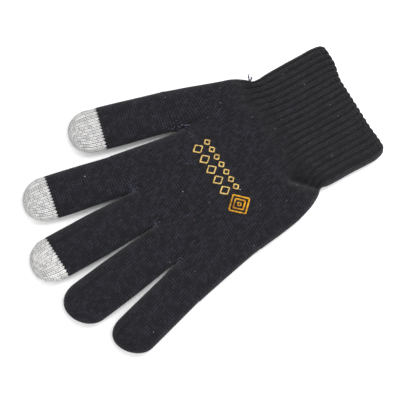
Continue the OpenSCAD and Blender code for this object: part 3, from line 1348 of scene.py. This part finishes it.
    def _lining(self) -> None:
        """Makes the inner face of the cuff, which closes on itself past the wrist, and the elastics on it.

        The closing end is squeezed flat by the square root of the distance from its last row.
        """
        shell = self.shell
        share, wale = (part[::4] for part in shell.columns(5))
        ring = shell.ring_wales(wale)
        seam = shell.cuff_y - self.lining_lap
        closing = np.linspace(0.02, 1, 9) ** 0.5
        near = self._inside(share, np.linspace(self.lining_y, seam, 9), closing)
        shade = np.full(near.shape[:2], 0.6)
        back = Cloth(near, ring, np.arange(9.0), shade, pole_first=True).mesh("cuff_lining_knit")
        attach(dress(back, Finish.RIB), "cuff")
        far = self._inside(share, np.linspace(seam, self.hem_y, 27), np.ones(27))
        shade = np.full(far.shape[:2], 0.6)
        out = Cloth(far, ring, np.arange(27.0), shade).mesh("turnback_lining_knit")
        dress(out, Finish.RIB)
        fold_back(out)

        for node, body, places in self.elastics:
            loops = []
            for place in places:
                inset = shell.knit_wall + self.elastic_gap
                upper = shell.face(share, np.full((1, 1), place), shell.right, inset)
                path = DRAPE.settle(shell.ring(upper))[0]
                loops.append(sweep(path, self.elastic_r, 8, True, 6.0).mesh(f"{node}_{len(loops)}"))
            piece = dress(join(f"{node}_threads", loops), Finish.ELASTIC)
            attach(piece, body)
            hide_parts(node)

    def _inside(self, share: Array, y: Array, squeeze: Array) -> Array:
        """Works out the inner face of the cuff.

        Args:
            share: columns' share of the way across.
            y: place of each row.
            squeeze: share of its height that each row keeps.

        Returns:
            The grid of points.
        """
        upper = self.shell.face(share, y[:, None], self.shell.right, self.shell.knit_wall)
        upper[..., 2] *= squeeze[:, None]
        return DRAPE.settle(self.shell.ring(upper))


def join(name: str, parts: list[bpy.types.Object]) -> bpy.types.Object:
    """Joins several objects into one.

    Args:
        name: name of the result.
        parts: the objects, which are used up.

    Returns:
        The joined object.
    """
    first = parts[0]
    if len(parts) > 1:
        with bpy.context.temp_override(
            active_object=first, selected_editable_objects=parts, selected_objects=parts
        ):
            bpy.ops.object.join()
    first.name = name
    first.data.name = name
    return first


# ---------------------------------------------------------------- trim

@dataclass
class CrotchStitches:
    """Closing stitches of yarn across each crotch, laid on the knit and following it.

    Attributes:
        radius: radius of the yarn.
        reach: columns that the first stitch reaches to each side.
        rows_back: row of each stitch, counted back from the crotch.
        proud: height of a stitch's ends over the knit.
        bow: how much higher its middle stands.
    """

    radius: float = 0.34
    reach: int = 9
    rows_back: tuple[int, ...] = (1, 3, 5, 8)
    proud: float = 0.12
    bow: float = 0.35

    def build(self, glove: Glove) -> None:
        """Lays the stitches of all four crotches on the hand's own points, each averaged over five of them.

        Args:
            glove: the glove, already knitted.
        """
        per = GAUGE.cols + 1
        places = [("ring_little", glove.upper, 1), ("middle_ring", glove.upper, 2),
                  ("index_middle", glove.upper, 3), ("thumb", glove.lower, 4)]
        for label, cloth, k in places:
            threads = []
            for i, back in enumerate(self.rows_back):
                reach = self.reach - i
                c = np.arange(k * per - reach, k * per + reach)
                row = cloth.points[len(cloth.course) - 1 - back]
                path = row[c] + np.array([0, 0, self.proud])
                path[:, 2] += self.bow * np.sin(np.linspace(0, math.pi, len(c)))
                padded = np.pad(path, ((2, 2), (0, 0)), "edge")
                even = np.full(5, 1 / 5)
                smooth = np.stack([np.convolve(line, even, "valid") for line in padded.T], -1)
                threads.append(sweep(smooth, self.radius, 8, False, 5.0).mesh(f"{label}_{i}"))
            piece = join(f"{label}_crotch_stitches", threads)
            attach(dress(piece, Finish.BLACK), "hand")


@dataclass
class YarnTail:
    """A loose end of two twisted plies at the wrist, on the thumb's side, with a second, shorter end.

    Attributes:
        start: where both ends leave the knit.
        radius: radius of a ply.
        twist_r: distance of a ply from the yarn's middle.
        ends: each end's run over the floor, its rise and its bow.
    """

    start: tuple[float, float, float] = (41.2, -58.6, 5.2)
    radius: float = 0.34
    twist_r: float = 0.2
    ends: tuple[tuple[tuple[float, float], float, float], ...] = (
        ((3.6, -1.0), 2.2, 0.7),
        ((2.3, -3.0), 1.6, -0.9),
    )

    def build(self) -> None:
        """Carries each ply along a curl: a straight run with a sine across it and one in height."""
        plies = []
        for i, (run, rise, bow) in enumerate(self.ends):
            t = np.linspace(0, 1, 26)
            for phase in (0.0, math.pi):
                x = self.start[0] + run[0] * t + bow * np.sin(3.0 * t) * t
                y = self.start[1] + run[1] * t + bow * np.sin(4.0 * t + 1) * t
                z = self.start[2] + rise * np.sin(2.4 * t)
                twist = 9 * t + phase
                ply = np.stack([x + self.twist_r * np.cos(twist), y + self.twist_r * np.sin(twist), z], -1)
                tapered = self.radius * (1 - 0.6 * t**3)
                plies.append(sweep(ply, tapered, 7, False).mesh(f"ply_{i}_{phase:.0f}"))
        piece = dress(join("wrist_yarn_tail", plies), Finish.BLACK)
        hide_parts("yarn_tail")
        fold_back(piece)


@dataclass
class Embroidery:
    """A generic band in satin stitch: wide lozenges over a row of small ones, and a nested diamond.

    Attributes:
        thread: width of one thread.
        fine_bar: width of the fine lines of the two rows.
        bold_bar: width of the bold lines of the nested diamond.
        nested: size of each nested diamond, as a share of the emblem's height.
        rows: each row's lozenges, its rise over the middle and its height, both as shares of that height.
        gap: distance from the middle diamond's side to the rows, as a share of that height.
        lozenge_w: width of a lozenge as a share of its pitch.
        bed_z: height over the floor of the knit under the threads.
        proud: height of the stitching over the knit.
    """

    thread: float = 0.4
    fine_bar: float = 0.85
    bold_bar: float = 1.0
    nested: tuple[float, ...] = (1.32, 0.82, 0.32)
    rows: tuple[tuple[int, float, float], ...] = ((5, 0.24, 0.64), (7, -0.36, 0.4))
    gap: float = 0.7
    lozenge_w: float = 0.86
    bed_z: float = 8.6
    proud: float = 0.45

    def build(self) -> None:
        """Places the nested diamond and the two rows in the emblem's box, and fills each line."""
        low, high = box_mm("emblem_embroidery")
        mid_y, tall = (low[1] + high[1]) / 2, high[1] - low[1]
        end = low[0] + tall / 2
        bold = []
        for share in self.nested:
            bold += self._diamond(end, mid_y, share * tall, share * tall, self.bold_bar)
        self._stitch("emblem_nested_diamond", bold, self.bold_bar, Finish.DEEP_GOLD)
        start = end + self.gap * tall
        fine = []
        for count, rise, share in self.rows:
            pitch = (high[0] - start) / count
            for i in range(count):
                x, y = start + (i + 0.5) * pitch, mid_y + rise * tall
                fine += self._diamond(x, y, self.lozenge_w * pitch, share * tall, self.fine_bar)
        self._stitch("emblem_lozenge_rows", fine, self.fine_bar, Finish.PALE_GOLD)
        dress_node("emblem_backing", Finish.BACKING)

    def _stitch(self, name: str, bars: list[Bar], bar: float, finish: Finish) -> None:
        """Makes one piece of all the threads of some bars.

        Args:
            name: the piece's name.
            bars: pairs of end points.
            bar: width of a bar.
            finish: the thread.
        """
        grids = [self._fill(np.array(a), np.array(b), bar, n) for n, (a, b) in enumerate(bars)]
        piece = join(name, [g.mesh(f"bar_{i}") for i, g in enumerate(grids)])
        dress(piece, finish)
        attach(piece, "hand")
        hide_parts("emblem_embroidery")

    def _diamond(self, x: float, y: float, w: float, h: float, bar: float) -> list[Bar]:
        """The four sides of a diamond w by h over all, as pairs of end points of the bars' middle lines."""
        w, h = w - bar, h - bar
        corners = [(x - w / 2, y), (x, y - h / 2), (x + w / 2, y), (x, y + h / 2)]
        return [(corners[i], corners[(i + 1) % 4]) for i in range(4)]

    def _fill(self, a: Array, b: Array, bar: float, seed: int) -> Cloth:
        """Lays threads across one bar.

        Each thread is a grid of two parameters: v along it, from edge to edge of the bar over an arch, and u
        round its half circle. All threads of a bar stand side by side in one grid of columns, as the size of
        a sine.

        Args:
            a: one end of the bar's middle line.
            b: the other end.
            bar: the bar's width.
            seed: number of the bar, which shifts its threads' lengths and shades.

        Returns:
            The bar's grid.
        """
        run = b - a
        length = float(np.hypot(*run))
        way = run / length
        over = np.array([-way[1], way[0]])
        n = max(3, round(length / self.thread))
        u = np.linspace(0, n, n * 6 + 1)
        v = np.linspace(-1, 1, 9)
        lift = np.abs(np.sin(math.pi * u))[None, :] * 0.16
        arch = np.sqrt(np.clip(1 - v**2, 0, 1))[:, None]
        ragged = 1 + 0.06 * np.sin(seed * 2.1 + np.floor(u - 1e-6) * 2.4)[None, :]
        across = v[:, None] * bar / 2 * ragged
        slant = 0.25 * v[:, None]
        along = u[None, :] / n * length + slant
        xy = a + along[..., None] * way + across[..., None] * over
        base = np.concatenate([xy, np.full((*xy.shape[:2], 1), self.bed_z)], -1)
        points = DRAPE.settle(base)
        points[..., 2] += 0.05 + arch * (self.proud * 0.75 + lift)
        points = points[::-1]
        rows = np.arange(9) / 9 + seed
        return Cloth(points, u, rows, np.ones(points.shape[:2]), wrap=False)


# ---------------------------------------------------------------- studio

@dataclass
class Studio:
    """A pale sweep, soft light from above and the camera.

    Attributes:
        elevation: its height over the horizon, in degrees.
        lens: focal length in millimetres.
        width: what the picture takes in at the glove's height, in millimetres.
        centre: the point that the camera looks at, in millimetres.
        lamps: each light's name, its place and side in metres, and its power in watts.
        glow: strength of the light that comes from all round.
        reach: how far the floor goes to each side, in millimetres.
    """

    azimuth: float = 239.65
    elevation: float = 66.0
    lens: float = 200.0
    width: float = 225.5
    centre: tuple[float, float, float] = (-8.3, 3.6, 4.0)
    lamps: tuple[tuple[str, tuple[float, float, float], float, float], ...] = (
        ("Key", (0.0, -0.75, 0.8), 0.5, 8.0),
        ("Fill", (-0.8, 0.1, 0.6), 0.8, 7.0),
        ("Top", (0.35, -0.15, 1.1), 0.7, 3.0),
    )
    glow: float = 0.85
    reach: float = 3000.0

    def build(self) -> None:
        """Sets up the camera, the lights, the world and the floor."""
        self._camera()
        for lamp in self.lamps:
            self._light(*lamp)
        world = bpy.data.worlds.new("Soft_room")
        bpy.context.scene.world = world
        world.use_nodes = True
        shade = world.node_tree.nodes["Background"]
        shade.inputs["Color"].default_value = (1.0, 1.0, 1.0, 1.0)
        shade.inputs["Strength"].default_value = self.glow
        self._floor()
        bpy.context.scene.view_settings.view_transform = "Standard"

    def _camera(self) -> None:
        """Stands the camera back along its line of sight, level, with nothing out of focus."""
        a, e = math.radians(self.azimuth), math.radians(self.elevation)
        back = np.array([math.sin(a) * math.cos(e), -math.cos(a) * math.cos(e), math.sin(e)])
        data = bpy.data.cameras.new("Camera")
        data.lens = self.lens
        distance = self.width * self.lens / data.sensor_width
        camera = bpy.data.objects.new("Camera", data)
        camera.location = [v * M_PER_MM for v in np.array(self.centre) + back * distance]
        camera.rotation_mode = "QUATERNION"
        camera.rotation_quaternion = Vector(-back).to_track_quat("-Z", "Y")
        data.clip_start = 0.01
        bpy.context.scene.collection.objects.link(camera)
        bpy.context.scene.camera = camera

    def _light(self, name: str, place: tuple[float, float, float], size: float, power: float) -> None:
        """Hangs a square soft light that faces the glove.

        Args:
            name: the light's name.
            place: where it hangs, in metres.
            size: its side, in metres.
            power: its power, in watts.
        """
        data = bpy.data.lights.new(name, "AREA")
        data.shape = "SQUARE"
        data.size = size
        data.energy = power
        light = bpy.data.objects.new(name, data)
        light.location = place
        light.rotation_mode = "QUATERNION"
        light.rotation_quaternion = Vector(place).to_track_quat("Z", "Y")
        bpy.context.scene.collection.objects.link(light)

    def _floor(self) -> None:
        """Lays a flat white sweep under the glove, large enough to fill every view."""
        span = np.linspace(-self.reach, self.reach, 3)
        x, y = np.meshgrid(span, span)
        grid = np.stack([x, y, np.zeros_like(x)], -1)
        share = span / self.reach
        floor = Cloth(grid, share, share, np.ones(x.shape), wrap=False).mesh("floor")
        material, tree, shader = blank("White_card_matt")
        place = add(tree, "ShaderNodeTexCoord").outputs["Object"]
        tooth = add(tree, "ShaderNodeTexNoise", Vector=place, Scale=per_mm(1.5), Detail=3.0)
        stops = ((0.3, "#f6f6f6"), (0.7, "#fbfbfb"))
        colour = add(tree, "ShaderNodeValToRGB", {"stops": stops}, Fac=tooth)
        feed(tree, shader, Base_Color=colour, Roughness=0.8, Specular_IOR_Level=0.1)
        floor.data.materials.append(material)


def finger(
    name: str, tip: str, conductive: bool = False, trim: float = 0.0, skew: float = 0.0, flare: float = 0.0
) -> Stall:
    """Describes one finger's stall.

    Args:
        name: the finger's name.
        tip: CAD node of its tip.
        conductive: whether the tip is silver yarn.
        trim: how much longer the knit is than its tip's box, in millimetres.
        skew: how far its very tip lies off its line, in millimetres.
        flare: how much wider its root is on the thumb's side, in millimetres.

    Returns:
        The stall.
    """
    slim = {"full_half_w": 12.3} if name == "little" else {}
    return Stall(
        name, tip, (f"{name}_base_stall", f"{name}_middle_stall"),
        ("hand", f"{name}_base", f"{name}_mid", f"{name}_end"), conductive=conductive, trim=trim,
        skew=skew, flare=flare, **slim,
    )


def main() -> None:
    """Builds the studio and then the glove, from its shell to its trim."""
    logging.basicConfig(level=logging.INFO, format="%(name)s: %(message)s")
    Studio().build()
    fingers = [
        finger("little", "little_tip_stall", trim=-3.7, skew=2.2),
        finger("ring", "ring_tip_stall", trim=-2.7, skew=1.6),
        finger("middle", "middle_conductive_tip", True, trim=-0.2, skew=-1.0),
        finger("index", "index_conductive_tip", True, trim=-0.8, skew=-0.8, flare=0.8),
    ]
    thumb = Stall(
        "thumb", "thumb_conductive_tip", ("thumb_base_stall", "thumb_end_stall"),
        ("hand", "thumb_base", "thumb_end"), square_root=True, conductive=True, trim=0.9, flare=0.9,
    )
    glove = Glove(Shell(), fingers, thumb)
    glove.build()
    CrotchStitches().build(glove)
    YarnTail().build()
    Embroidery().build()


if __name__ == "__main__":
    main()
